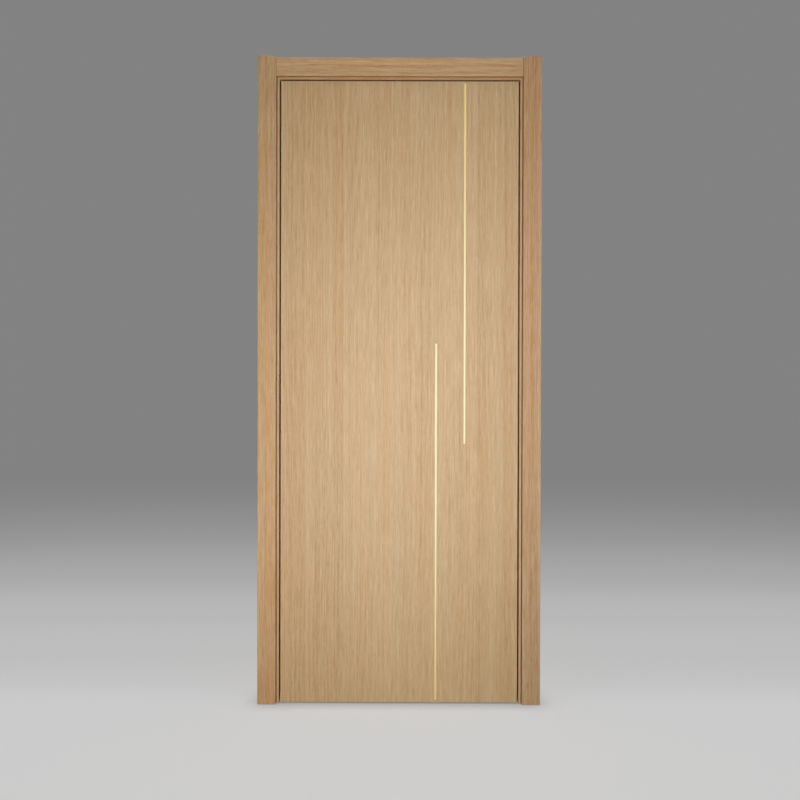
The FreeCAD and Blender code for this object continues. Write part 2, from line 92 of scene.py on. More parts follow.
class Wire:
    """An output in a finish's node tree. Arithmetic on it adds Math nodes."""

    def __init__(self, finish, socket):
        self.finish = finish
        self.socket = socket

    def maths(self, operation, *values):
        return self.finish.add("ShaderNodeMath", {"operation": operation}, dict(enumerate(values)))

    def __add__(self, other):
        return self.maths("ADD", self, other)

    def __radd__(self, other):
        return self.maths("ADD", other, self)

    def __sub__(self, other):
        return self.maths("SUBTRACT", self, other)

    def __rsub__(self, other):
        return self.maths("SUBTRACT", other, self)

    def __mul__(self, other):
        return self.maths("MULTIPLY", self, other)

    def __rmul__(self, other):
        return self.maths("MULTIPLY", other, self)

    def __truediv__(self, other):
        return self.maths("DIVIDE", self, other)

    def __rtruediv__(self, other):
        return self.maths("DIVIDE", other, self)

    def __pow__(self, other):
        return self.maths("POWER", self, other)

    def __rpow__(self, other):
        return self.maths("POWER", other, self)

    def __abs__(self):
        return self.maths("ABSOLUTE", self)

    def floor(self):
        return self.maths("FLOOR", self)

    def fraction(self):
        return self.maths("FRACT", self)

    def cosine(self):
        return self.maths("COSINE", self)

    def largest(self, other):
        return self.maths("MAXIMUM", self, other)

    def rise(self, low, high):
        """0 below low, 1 above high and a smooth step between them."""
        return self.finish.add(
            "ShaderNodeMapRange",
            {"interpolation_type": "SMOOTHSTEP"},
            {"Value": self, "From Min": low, "From Max": high},
        )


class Finish:
    """One material or world, whose nodes all come from add()."""

    def __init__(self, owner):
        owner.use_nodes = True
        self.owner = owner
        self.tree = owner.node_tree
        self.tree.nodes.clear()

    @classmethod
    def material(cls, name):
        return cls(bpy.data.materials.new(name))

    @staticmethod
    def find(sockets, name):
        """The socket with this number, or the one in use with this name."""
        if isinstance(name, int):
            return sockets[name]
        return next(s for s in sockets if s.enabled and s.name == name)

    def add(self, kind, settings=None, inputs=None, outputs=0):
        """A node with its settings set first, then its sockets; returns the named output or outputs."""
        node = self.tree.nodes.new(kind)
        for name, value in (settings or {}).items():
            if name == "stops":
                self.set_stops(node.color_ramp, value)
            else:
                setattr(node, name, value)
        for name, value in (inputs or {}).items():
            socket = self.find(node.inputs, name)
            if isinstance(value, Wire):
                self.tree.links.new(value.socket, socket)
            else:
                socket.default_value = value
        if isinstance(outputs, tuple):
            return [Wire(self, self.find(node.outputs, name)) for name in outputs]
        if len(node.outputs) == 0:
            return None
        return Wire(self, self.find(node.outputs, outputs))

    @staticmethod
    def set_stops(ramp, stops):
        """Fills a ramp with greys, each given as its position and its value."""
        while len(ramp.elements) < len(stops):
            ramp.elements.new(1.0)
        for element, (position, value) in zip(ramp.elements, stops):
            element.position = position
            element.color = (value, value, value, 1.0)

    def place(self, along="Z"):
        """The surface point as across, through and along the grain."""
        point = self.add("ShaderNodeTexCoord", outputs="Object")
        x, y, z = self.add("ShaderNodeSeparateXYZ", inputs={0: point}, outputs=("X", "Y", "Z"))
        return (x, y, z) if along == "Z" else (z, y, x)

    def noise(self, point, scales, detail=2.0, roughness=0.5):
        """Noise with its own scale, in cells a metre, along each of the three directions."""
        parts = {i: value * scale for i, (value, scale) in enumerate(zip(point, scales))}
        vector = self.add("ShaderNodeCombineXYZ", inputs=parts)
        return self.add(
            "ShaderNodeTexNoise",
            inputs={"Vector": vector, "Scale": 1.0, "Detail": detail, "Roughness": roughness},
        )

    def mixed(self, factor, first, second):
        """The first colour at a factor of 0, the second at 1."""
        return self.add(
            "ShaderNodeMix",
            {"data_type": "RGBA"},
            {"Factor": factor, "A": first, "B": second},
            "Result",
        )

    def graded(self, colour, grain):
        """The colour with a grain that moves blue most and red least, as in warm timber."""
        shades = {i: 1 + grain * weight for i, weight in enumerate(GRAIN_WEIGHTS)}
        vector = self.add("ShaderNodeCombineXYZ", inputs=shades)
        return self.add("ShaderNodeVectorMath", {"operation": "MULTIPLY"}, {0: colour, 1: vector})

    def scaled(self, colour, amount):
        """The colour made lighter or darker as a whole by a wire."""
        return self.add("ShaderNodeVectorMath", {"operation": "SCALE"}, {0: colour, "Scale": amount})

    def bump(self, height, distance, strength):
        return self.add(
            "ShaderNodeBump",
            inputs={"Height": height, "Distance": distance, "Strength": strength},
        )

    def surface(self, **inputs):
        """The closing Principled shader; returns the finished material."""
        named = {name.replace("_", " "): value for name, value in inputs.items()}
        shader = self.add("ShaderNodeBsdfPrincipled", inputs=named)
        self.add("ShaderNodeOutputMaterial", inputs={"Surface": shader})
        return self.owner


def opaque(colour):
    return (*colour, 1.0)


def tinted(colour, factor):
    """The colour made lighter or darker as a whole by a number."""
    return opaque(min(channel * factor, 1.0) for channel in colour)


def swing(value, strength):
    """A value between 0 and 1, such as noise, moved to swing about 0 by this strength."""
    return (value - 0.5) * strength


# Finishes

# oak: the scales of its noise, in cells a metre across, through and along the grain
BROAD_TONE = (26.0, 26.0, 0.12)
WARM_PATCHES = (26.0, 26.0, 0.7)
GROWTH_WANDER = (3.4, 3.4, 0.42)
GROWTH_FADE = (8.0, 8.0, 1.1)
BANDS = (60.0, 60.0, 0.35)
LINES = (240.0, 240.0, 1.0)
STREAKS = (235.0, 235.0, 9.0)
FIBRES = (520.0, 520.0, 24.0)
PORES = (1250.0, 1250.0, 42.0)
# the detail of its smooth noise, and the detail and roughness of its fine noise
SMOOTH = 1.0
FINE = (3.0, 0.6)
# between which values of their noise warm patches, growth lines and pores set in
WARM_SHOWS = (0.3, 0.7)
GROWTH_SHOWS = (0.35, 0.65)
PORES_OPEN = (0.60, 0.72)
# growth lines a metre, how many of them the wander moves, and how sharply they are drawn
GROWTH_LINES = 62.0
GROWTH_WANDER_LINES = 15.0
GROWTH_SHARPNESS = 2.0
# how strong the pores are between the growth lines, beside those in them
PORES_BETWEEN = 0.35
# how far the grain of a sheet slides with its tone, and that of a board along with its shift
SHEET_SLIDE_ACROSS = 1.7
SHEET_SLIDE_ALONG = 9.3
GRAIN_SHIFT_ALONG = 2.6
SEAM_DARKNESS = 0.13
# how far the grain moves red, green and blue, and how far warmth does
GRAIN_WEIGHTS = (0.64, 1.10, 1.66)
WARM_WEIGHTS = (0.010, -0.045, -0.085)
# how much redder the warm patches are on the leaf and on the frame
LEAF_WARMTH = 1.4
FRAME_WARMTH = 1.9
# how much livelier the frame's veneer is than the leaf's
FRAME_FIGURE = 1.15
# how high the fibres stand, in depths of a pore, and how deep a pore is
FIBRE_HEIGHT = 0.4
GRAIN_DEPTH = 0.00025
# what the bands and the pores add to the roughness
BAND_ROUGHNESS = 0.06
PORE_ROUGHNESS = 0.10
LACQUER_ROUGHNESS = 0.32


def oak(name, colour, wood, along="Z", shift=0.0, sheets=False, figure=1.0, warmth=LEAF_WARMTH, joints=()):
    """Crown-cut oak veneer: broad tone, growth lines, fibres and open pores, under satin lacquer."""
    finish = Finish.material(name)
    across, through, length = finish.place(along)
    shade = painted_joint_shade(joints, across, through, length)
    seam = 0.0
    sheet_tone = 0.5
    if sheets:
        seam, sheet_tone = veneer_sheets(finish, across, wood)
        across = across + sheet_tone * SHEET_SLIDE_ACROSS
        length = length + sheet_tone * SHEET_SLIDE_ALONG
    point = (across + shift, through, length + shift * GRAIN_SHIFT_ALONG)

    broad = finish.noise(point, BROAD_TONE)
    growth = growth_lines(finish, point)
    bands = finish.noise(point, BANDS)
    lines = finish.noise(point, LINES, SMOOTH)
    streaks = finish.noise(point, STREAKS, *FINE)
    fibres = finish.noise(point, FIBRES, *FINE)
    pores = finish.noise(point, PORES, SMOOTH).rise(*PORES_OPEN)
    pores = pores * (PORES_BETWEEN + growth * (1 - PORES_BETWEEN))

    grain = swing(broad, wood.broad_contrast) + swing(sheet_tone, wood.sheet_contrast)
    grain = grain + swing(streaks, wood.streak_contrast) + swing(fibres, wood.fibre_contrast)
    grain = grain + swing(bands, wood.band_contrast) + swing(lines, wood.line_contrast)
    grain = (grain - growth * wood.growth_contrast - pores * wood.pore_contrast) * figure
    grain = grain - seam * SEAM_DARKNESS

    warm = finish.noise(point, WARM_PATCHES).rise(*WARM_SHOWS)
    timber = finish.mixed(warm, opaque(colour), opaque(warmer(colour, warmth)))
    base = finish.graded(timber, grain)
    # painted shade in the quirks and joints, mixed over the veneer
    if joints:
        base = finish.mixed(shade, base, opaque(wood.painted_quirk_shade_colour))
    return finish.surface(
        Base_Color=base,
        Roughness=wood.roughness + swing(bands, BAND_ROUGHNESS) + pores * PORE_ROUGHNESS,
        Coat_Weight=wood.lacquer,
        Coat_Roughness=LACQUER_ROUGHNESS,
        Normal=finish.bump(swing(fibres, FIBRE_HEIGHT) - pores - seam, GRAIN_DEPTH, wood.relief),
    )


def veneer_sheets(finish, across, wood):
    """The seams between the sheets of veneer, and a tone between 0 and 1 for each sheet."""
    number = (across - wood.first_seam) / wood.sheet_width
    tone = finish.add(
        "ShaderNodeTexWhiteNoise",
        {"noise_dimensions": "1D"},
        {"W": number.floor() + wood.sheet_order},
        "Value",
    )
    edge = number.fraction() * wood.sheet_width
    return 1 - edge.rise(wood.seam_width / 2, wood.seam_width), tone


def growth_lines(finish, point):
    """Growth lines that wander and fade: 1 in the middle of a line, 0 between two."""
    across, through, _ = point
    wander = finish.noise(point, GROWTH_WANDER)
    rings = (across + through) * GROWTH_LINES + wander * GROWTH_WANDER_LINES
    ring = (rings.fraction() * math.tau).cosine() * 0.5 + 0.5
    return ring ** GROWTH_SHARPNESS * finish.noise(point, GROWTH_FADE, SMOOTH).rise(*GROWTH_SHOWS)


def warmer(colour, warmth):
    """The redder tone that the same timber takes in patches."""
    return [channel * (1 + weight * warmth) for channel, weight in zip(colour, WARM_WEIGHTS)]


class PaintedJointShade(NamedTuple):
    """A joint or quirk with a line of painted shade, with its middle across or along the grain.

    It begins at a depth, which is a Y, and has full strength a little behind that.
    """

    way: str
    middle: float
    half_width: float
    depth: float
    strength: float


# painted shade in the quirks beside the leaf and in the joints at the head casing's ends, stronger on the
# lock side
PAINTED_JOINT_SHADES = {
    "jamb_hinge_side": (
        PaintedJointShade("across", middle=0.0310, half_width=0.0017, depth=0.0002, strength=0.60),
    ),
    "jamb_lock_side": (
        PaintedJointShade("across", middle=0.8590, half_width=0.0017, depth=0.0002, strength=0.95),
    ),
    "casing_front_head": (
        PaintedJointShade("along", middle=0.0295, half_width=0.0012, depth=-0.0120, strength=0.45),
        PaintedJointShade("along", middle=0.8605, half_width=0.0018, depth=-0.0120, strength=0.75),
    ),
}
# between which shares of its half width a joint's line of painted shade fades out, and over how much depth
# it sets in
PAINTED_JOINT_SHADE_EDGE = (0.85, 1.15)
PAINTED_JOINT_SHADE_LIFT = 0.0005


def painted_joint_shade(joints, across, through, length):
    """How dark each point is from the painted shade in its joints and quirks."""
    shade = 0.0
    for joint in joints:
        offset = (across if joint.way == "across" else length) - joint.middle
        line = 1 - abs(offset).rise(*(joint.half_width * share for share in PAINTED_JOINT_SHADE_EDGE))
        shade = line * (through - joint.depth).rise(0.0, PAINTED_JOINT_SHADE_LIFT) * joint.strength + shade
    return shade


# where the painted highlight on the brass is palest, and how far from there it keeps pale and turns golden
BRASS_HIGHLIGHT_HEIGHT = 1.0
BRASS_HIGHLIGHT_REACH = (0.30, 1.15)
# brass: cells a metre of its drawn lines and its cloud, and what they do to tone and roughness
BRASS_LINES = (2600.0, 2600.0, 9.0)
BRASS_CLOUD = (40.0, 40.0, 3.0)
BRASS_LINE_TONE = 0.10
BRASS_CLOUD_TONE = 0.06
BRASS_LINE_ROUGHNESS = 0.15
# how deep the drawn lines of brass and steel are
DRAWN_LINE_DEPTH = 0.00004


def brushed_brass(name, hardware):
    """Drawn brass strip with fine lines along its length, and a painted highlight that makes it paler
    halfway up than at its ends.
    """
    finish = Finish.material(name)
    point = finish.place()
    # painted highlight: the brass is paler halfway up and golden towards its ends
    pale = 1 - abs(point[2] - BRASS_HIGHLIGHT_HEIGHT).rise(*BRASS_HIGHLIGHT_REACH)
    colour = finish.mixed(pale, opaque(hardware.brass_colour), opaque(hardware.brass_highlight_colour))
    lines = finish.noise(point, BRASS_LINES)
    cloud = finish.noise(point, BRASS_CLOUD)
    shade = 1 + swing(lines, BRASS_LINE_TONE) + swing(cloud, BRASS_CLOUD_TONE)
    return finish.surface(
        Base_Color=finish.scaled(colour, shade),
        Metallic=1.0,
        Roughness=hardware.brass_roughness + swing(lines, BRASS_LINE_ROUGHNESS),
        Normal=finish.bump(lines, DRAWN_LINE_DEPTH, strength=0.2),
    )


# rubber: cells a metre of its dust and its fine grain, where the dust shows, how much and how pale
DUST = (180.0, 180.0, 12.0)
RUBBER_GRAIN = (2200.0, 2200.0, 2200.0)
DUST_DETAIL = 3.0
DUST_SHOWS = (0.45, 0.75)
DUST_SHARE = 0.25
DUST_PALENESS = 1.6
RUBBER_ROUGHNESS = 0.62
RUBBER_GRAIN_ROUGHNESS = 0.15
RUBBER_GRAIN_DEPTH = 0.00005


def seal_rubber(name, hardware):
    """Soft extruded seal, a little dusty along its length."""
    finish = Finish.material(name)
    point = finish.place()
    dust = finish.noise(point, DUST, DUST_DETAIL).rise(*DUST_SHOWS) * DUST_SHARE
    grain = finish.noise(point, RUBBER_GRAIN)
    colour = hardware.seal_colour
    return finish.surface(
        Base_Color=finish.mixed(dust, opaque(colour), tinted(colour, DUST_PALENESS)),
        Roughness=RUBBER_ROUGHNESS + swing(grain, RUBBER_GRAIN_ROUGHNESS),
        Normal=finish.bump(grain, RUBBER_GRAIN_DEPTH, strength=0.3),
    )


# coated hinge bodies: cells a metre of the orange peel and the rubbing, the detail and roughness of the
# rubbing's noise, where it shows, and what it does to tone and roughness
PEEL = (1500.0, 1500.0, 1500.0)
RUBBING = (90.0, 90.0, 30.0)
RUBBING_DETAIL = (4.0, 0.65)
RUBBING_SHOWS = (0.55, 0.75)
RUBBING_SHARE = 0.35
RUBBING_PALENESS = 1.25
RUBBING_SHINE = 0.10
PAINT_METALLIC = 0.55
PAINT_ROUGHNESS = 0.42
PEEL_DEPTH = 0.00006


def hinge_paint(name, hardware):
    """Satin powder coat over the cast hinge bodies: a fine orange peel and faint rubbing."""
    finish = Finish.material(name)
    point = finish.place()
    peel = finish.noise(point, PEEL, SMOOTH)
    rubbed = finish.noise(point, RUBBING, *RUBBING_DETAIL).rise(*RUBBING_SHOWS)
    colour = hardware.hinge_colour
    return finish.surface(
        Base_Color=finish.mixed(rubbed * RUBBING_SHARE, opaque(colour), tinted(colour, RUBBING_PALENESS)),
        Metallic=PAINT_METALLIC,
        Roughness=PAINT_ROUGHNESS - rubbed * RUBBING_SHINE,
        Normal=finish.bump(peel, PEEL_DEPTH, strength=0.25),
    )


# steel: cells a metre of its lines and its smear, and what they do to tone and roughness
STEEL_LINES = (60.0, 60.0, 2400.0)
SMEAR = (130.0, 130.0, 60.0)
SMEAR_DETAIL = 3.0
STEEL_LINE_TONE = 0.12
SMEAR_TONE = 0.10
SMEAR_ROUGHNESS = 0.18
STEEL_ROUGHNESS = 0.34


def brushed_steel(name, hardware):
    """Bare steel with fine lines across and a little smear."""
    finish = Finish.material(name)
    point = finish.place()
    lines = finish.noise(point, STEEL_LINES)
    smear = finish.noise(point, SMEAR, SMEAR_DETAIL)
    shade = 1 + swing(lines, STEEL_LINE_TONE) + swing(smear, SMEAR_TONE)
    return finish.surface(
        Base_Color=finish.scaled(tuple(hardware.steel_colour), shade),
        Metallic=1.0,
        Roughness=STEEL_ROUGHNESS + swing(smear, SMEAR_ROUGHNESS),
        Normal=finish.bump(lines, DRAWN_LINE_DEPTH, strength=0.25),
    )


# core board: cells a metre of its chips, the detail and roughness of their noise, where the paler ones
# show, and how the darker and the paler ones stand to the frame's veneer
CHIPS = (260.0, 260.0, 260.0)
CHIP_DETAIL = (4.0, 0.7)
CHIPS_SHOW = (0.35, 0.65)
CHIP_TONES = (0.7, 1.1)
BOARD_ROUGHNESS = 0.8
CHIP_DEPTH = 0.0003


def core_board(name, wood):
    """Pressed board: chips of pale and darker wood."""
    finish = Finish.material(name)
    chips = finish.noise(finish.place(), CHIPS, *CHIP_DETAIL)
    dark, pale = (tinted(wood.frame_colour, tone) for tone in CHIP_TONES)
    return finish.surface(
        Base_Color=finish.mixed(chips.rise(*CHIPS_SHOW), dark, pale),
        Roughness=BOARD_ROUGHNESS,
        Normal=finish.bump(chips, CHIP_DEPTH, strength=0.4),
    )


# Pieces

def dress(node, material):
    """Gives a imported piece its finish."""
    for slot in frame["nodes"][node].material_slots:
        slot.material = material


def new_piece(name, mesh, material, body):
    """A piece that only the scene has, riding on a body of the frame."""
    piece = bpy.data.objects.new(name, mesh)
    bpy.context.scene.collection.objects.link(piece)
    mesh.materials.append(material)
    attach(piece, body)


# a screw's outline from under its head to its face, as radius and height in head radii
SCREW_PROFILE = ((0.50, -0.42), (0.93, 0.01), (0.90, 0.05))
# its cross recess at the face and at the bottom, as reach, half width and height in head radii
RECESS_MOUTH = (0.52, 0.13, 0.05)
RECESS_FLOOR = (0.32, 0.09, -0.36)
SCREW_SEGMENTS = 28
# how far the crosses are turned, so that no two neighbours line up
SCREW_TURNS = (0.35, 1.1, 0.8, 0.15)
SHARP_ANGLE = math.radians(35)


def ring_of(shape, radius, height):
    """A ring of points about Z."""
    angles = [math.tau * i / SCREW_SEGMENTS for i in range(SCREW_SEGMENTS)]
    return [shape.verts.new((radius * math.cos(a), radius * math.sin(a), height)) for a in angles]


def cross_of(shape, reach, half_width, height):
    """The outline of a cross-shaped driver recess."""
    corners = []
    for quarter in range(4):
        turn = Matrix.Rotation(quarter * math.pi / 2, 3, "Z")
        for x, y in ((reach, -half_width), (reach, half_width), (half_width, half_width)):
            corners.append(shape.verts.new(turn @ Vector((x, y, height))))
    return corners


def skin_between(shape, lower, upper):
    """Faces between two loops with as many points."""
    count = len(lower)
    for i in range(count):
        shape.faces.new((lower[i], lower[(i + 1) % count], upper[(i + 1) % count], upper[i]))


def loop_edges(shape, loop):
    """The edges of a closed loop, made where they are missing."""
    edges = []
    for first, second in zip(loop, loop[1:] + loop[:1]):
        edges.append(shape.edges.get((first, second)) or shape.edges.new((first, second)))
    return edges


def countersunk_screw(shape, centre, outward, turn, head_radius):
    """A flat-headed screw with a cross recess, its head flush with the plate."""
    before = set(shape.verts)
    rings = [ring_of(shape, radius * head_radius, height * head_radius) for radius, height in SCREW_PROFILE]
    for lower, upper in zip(rings, rings[1:]):
        skin_between(shape, lower, upper)
    mouth = cross_of(shape, *(share * head_radius for share in RECESS_MOUTH))
    floor = cross_of(shape, *(share * head_radius for share in RECESS_FLOOR))
    skin_between(shape, floor, mouth)
    shape.faces.new(floor)
    rim = loop_edges(shape, rings[-1]) + loop_edges(shape, mouth)
    bmesh.ops.triangle_fill(shape, use_beauty=True, edges=rim, normal=(0.0, 0.0, 1.0))
    added = [v for v in shape.verts if v not in before]
    facing = Vector((0.0, 0.0, 1.0)).rotation_difference(outward).to_matrix().to_4x4()
    place = Matrix.Translation(centre) @ facing @ Matrix.Rotation(turn, 4, "Z")
    bmesh.ops.transform(shape, matrix=place, verts=added)


def hinge_screws(name, plate, outward, body, material, hardware):
    """The screws that hold one face plate, near its two ends. Outward is 1 or -1 along X."""
    low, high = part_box(plate)
    face = high.x if outward > 0 else low.x
    middle = (low.y + high.y) / 2
    shape = bmesh.new()
    for number, height in enumerate((low.z + hardware.screw_inset, high.z - hardware.screw_inset)):
        countersunk_screw(
            shape,
            Vector((face, middle, height)),
            Vector((outward, 0.0, 0.0)),
            SCREW_TURNS[(number + len(name)) % len(SCREW_TURNS)],
            hardware.screw_radius,
        )
    bmesh.ops.recalc_face_normals(shape, faces=shape.faces)
    mesh = bpy.data.meshes.new(name)
    shape.to_mesh(mesh)
    shape.free()
    for polygon in mesh.polygons:
        polygon.use_smooth = True
    mesh.set_sharp_from_angle(angle=SHARP_ANGLE)
    new_piece(name, mesh, material, body)


# Settings

class DoorWood(bpy.types.PropertyGroup):
    """Veneer of the leaf and of the frame"""

    leaf_colour: bpy.props.FloatVectorProperty(
        name="Leaf colour", description="Veneer colour of the leaf", subtype="COLOR",
        min=0.0, max=1.0, default=(0.622, 0.4225, 0.213),
    )
    frame_colour: bpy.props.FloatVectorProperty(
        name="Frame colour", description="Veneer colour of casings and lining", subtype="COLOR",
        min=0.0, max=1.0, default=(0.560, 0.363, 0.188),
    )
    hinge_casing_colour: bpy.props.FloatVectorProperty(
        name="Hinge casing", description="Veneer colour of the front casing by the hinges", subtype="COLOR",
        min=0.0, max=1.0, default=(0.573, 0.362, 0.169),
    )
    head_casing_colour: bpy.props.FloatVectorProperty(
        name="Head casing", description="Veneer colour of the front casing over the leaf", subtype="COLOR",
        min=0.0, max=1.0, default=(0.641, 0.431, 0.236),
    )
    # colour of the painted shade deep in the joints and the quirk
    painted_quirk_shade_colour: bpy.props.FloatVectorProperty(
        name="Joints", description="Colour deep in the joints and the quirk", subtype="COLOR",
        min=0.0, max=1.0, default=(0.105, 0.045, 0.025),
    )
    sheet_width: bpy.props.FloatProperty(
        name="Sheet width", description="Width of one sheet of veneer on the leaf",
        default=0.226, unit="LENGTH",
    )
    first_seam: bpy.props.FloatProperty(
        name="First seam", description="Where the first sheet of veneer begins",
        default=0.029, unit="LENGTH",
    )
    seam_width: bpy.props.FloatProperty(
        name="Seam width", description="Width of the joint between two sheets",
        default=0.0012, unit="LENGTH",
    )
    sheet_order: bpy.props.FloatProperty(
        name="Sheet order", description="Number of the first sheet in its stack", default=4.0,
    )
    sheet_contrast: bpy.props.FloatProperty(
        name="Sheet contrast", description="Difference of tone from sheet to sheet",
        default=0.10, subtype="FACTOR",
    )
    broad_contrast: bpy.props.FloatProperty(
        name="Broad contrast", description="Strength of the broad bands of tone",
        default=0.27, subtype="FACTOR",
    )
    growth_contrast: bpy.props.FloatProperty(
        name="Growth lines", description="Darkness of the growth lines",
        default=0.08, subtype="FACTOR",
    )
    band_contrast: bpy.props.FloatProperty(
        name="Bands", description="Strength of the long narrow bands",
        default=0.18, subtype="FACTOR",
    )
    line_contrast: bpy.props.FloatProperty(
        name="Lines", description="Strength of the long fine lines",
        default=0.30, subtype="FACTOR",
    )
    streak_contrast: bpy.props.FloatProperty(
        name="Streaks", description="Strength of the long fine streaks",
        default=0.70, subtype="FACTOR",
    )
    fibre_contrast: bpy.props.FloatProperty(
        name="Fibres", description="Strength of the finest fibres",
        default=0.60, subtype="FACTOR",
    )
    pore_contrast: bpy.props.FloatProperty(
        name="Pores", description="Darkness of the open pores",
        default=0.32, subtype="FACTOR",
    )
    relief: bpy.props.FloatProperty(
        name="Relief", description="How strongly pores and fibres stand out",
        default=0.35, subtype="FACTOR",
    )
    roughness: bpy.props.FloatProperty(
        name="Roughness", description="Roughness of the wood under its lacquer",
        default=0.50, subtype="FACTOR",
    )
    lacquer: bpy.props.FloatProperty(
        name="Lacquer", description="Weight of the satin lacquer",
        default=0.25, subtype="FACTOR",
    )


class DoorHardware(bpy.types.PropertyGroup):
    """Inlays, seals, hinges and screws"""

    brass_colour: bpy.props.FloatVectorProperty(
        name="Brass colour", description="Colour of the inlays", subtype="COLOR",
        min=0.0, max=1.0, default=(0.98, 0.76, 0.245),
    )
    # the colour of the painted highlight on the inlays halfway up
    brass_highlight_colour: bpy.props.FloatVectorProperty(
        name="Pale brass", description="Colour of the inlays halfway up", subtype="COLOR",
        min=0.0, max=1.0, default=(0.90, 0.835, 0.53),
    )
    brass_roughness: bpy.props.FloatProperty(
        name="Brass roughness", description="Roughness of the brushed inlays",
        default=0.38, subtype="FACTOR",
    )
    seal_colour: bpy.props.FloatVectorProperty(
        name="Seal colour", description="Colour of the rubber seals", subtype="COLOR",
        min=0.0, max=1.0, default=(0.075, 0.045, 0.026),
    )
    hinge_colour: bpy.props.FloatVectorProperty(
        name="Hinge colour", description="Colour of the coated hinge bodies", subtype="COLOR",
        min=0.0, max=1.0, default=(0.44, 0.44, 0.45),
    )
    steel_colour: bpy.props.FloatVectorProperty(
        name="Steel colour", description="Colour of the hinge arms and screws", subtype="COLOR",
        min=0.0, max=1.0, default=(0.55, 0.55, 0.56),
    )
    screw_radius: bpy.props.FloatProperty(
        name="Screw head radius", description="Radius of a hinge screw's head",
        default=0.0042, unit="LENGTH",
    )
    screw_inset: bpy.props.FloatProperty(
        name="Screw inset", description="From the end of a face plate to its screw",
        default=0.010, unit="LENGTH",
    )


class DoorStage(bpy.types.PropertyGroup):
    """Studio around the door"""

    floor_colour: bpy.props.FloatVectorProperty(
        name="Floor colour", description="Colour of the floor by the door", subtype="COLOR",
        min=0.0, max=1.0, default=(0.86, 0.86, 0.86),
    )
    backdrop_colour: bpy.props.FloatVectorProperty(
        name="Backdrop colour", description="Grey that the floor fades to", subtype="COLOR",
        min=0.0, max=1.0, default=(0.225, 0.225, 0.225),
    )
    floor_paint: bpy.props.FloatVectorProperty(
        name="Floor paint", description="What the floor gives back of the light that falls on it",
        subtype="COLOR", min=0.0, max=1.0, default=(0.79, 0.80, 0.815),
    )
    bounce_colour: bpy.props.FloatVectorProperty(
        name="Floor bounce", description="What the floor throws back on to the door",
        subtype="COLOR", min=0.0, max=1.0, default=(0.17, 0.17, 0.17),
    )
    sky_strength: bpy.props.FloatProperty(
        name="Room light", description="Even light from all round", default=0.13,
    )
    front_level: bpy.props.FloatProperty(
        name="Front lamp", description="Brightness of the lamp in front", default=3.84,
    )
    back_level: bpy.props.FloatProperty(
        name="Back lamp", description="Brightness of the lamp behind", default=3.1,
    )
    side_level: bpy.props.FloatProperty(
        name="Side lamps", description="Brightness of the lamps at either side", default=3.6,
    )
    top_level: bpy.props.FloatProperty(
        name="Top lamp", description="Brightness of the lamp overhead", default=1.6,
    )
    card_level: bpy.props.FloatProperty(
        name="Card", description="Brightness of the card that the inlays mirror", default=0.38,
    )
    wall_level: bpy.props.FloatProperty(
        name="Wall", description="Brightness of the pale wall that the inlays mirror", default=0.69,
    )


# Stage

# the photograph's camera
CAMERA_PLACE = (0.4514, -3.5, 1.0512)
CAMERA_YAW = math.radians(-0.064)
CAMERA_PITCH = math.radians(-0.404)
CAMERA_ROLL = math.radians(0.139)
CAMERA_LENS = 46.68
CAMERA_CLIP = 200.0
SENSOR_WIDTH = 36.0


def camera():
    """The photograph's view: from the front, at about the leaf's middle."""
    data = bpy.data.cameras.new("front_camera")
    data.lens = CAMERA_LENS
    data.sensor_width = SENSOR_WIDTH
    data.clip_end = CAMERA_CLIP
    eye = bpy.data.objects.new("front_camera", data)
    bpy.context.scene.collection.objects.link(eye)
    turn = Matrix.Rotation(-CAMERA_YAW, 4, "Z") @ Matrix.Rotation(math.pi / 2 + CAMERA_PITCH, 4, "X")
    eye.matrix_world = Matrix.Translation(CAMERA_PLACE) @ turn @ Matrix.Rotation(CAMERA_ROLL, 4, "Z")
    bpy.context.scene.camera = eye


class SoftBox(NamedTuple):
    """A large soft lamp: where it stands, the point it faces, its size and its lean."""

    place: tuple
    aim: tuple
    width: float
    height: float
    roll: float = 0.0


# lamps that stand in front of the door and again behind it, with their distance from it as Y: a tall
# one, a low one beside it, and the card and the pale wall that the inlays mirror
KEY_BOX = SoftBox((0.42, 1.45, 0.97), (0.42, 0.0, 0.97), width=0.9, height=1.8, roll=math.radians(-18))
LOW_BOX = SoftBox((-0.90, 1.5, 0.33), (0.0, 0.0, 0.2), width=0.6, height=0.6)
CARD = SoftBox((0.36, 2.5, 0.95), (0.36, 0.0, 0.95), width=1.8, height=1.9)
WALL = SoftBox((MIDDLE_X, 2.9, 1.5), (MIDDLE_X, 0.0, 1.5), width=3.6, height=4.0)
# how bright the low lamp is beside the tall one
LOW_SHARE = 0.38
# lamps beside the door and over it
SIDE_DISTANCE = 2.5
SIDE_AIM = (MIDDLE_X, MIDDLE_Y, 1.05)
SIDE_BOXES = {
    "hinge": SoftBox((MIDDLE_X - SIDE_DISTANCE, MIDDLE_Y, 1.25), SIDE_AIM, width=1.0, height=2.0),
    "lock": SoftBox((MIDDLE_X + SIDE_DISTANCE, MIDDLE_Y, 1.25), SIDE_AIM, width=1.0, height=2.0),
}
TOP_BOX = SoftBox((MIDDLE_X, -0.1, 4.4), (MIDDLE_X, 0.0, 0.0), width=3.0, height=2.4)


def on_side(box, side):
    """The lamp in front of the door, with a side of -1, or behind it, with 1."""
    x, distance, z = box.place
    return box._replace(place=(x, distance * side, z))


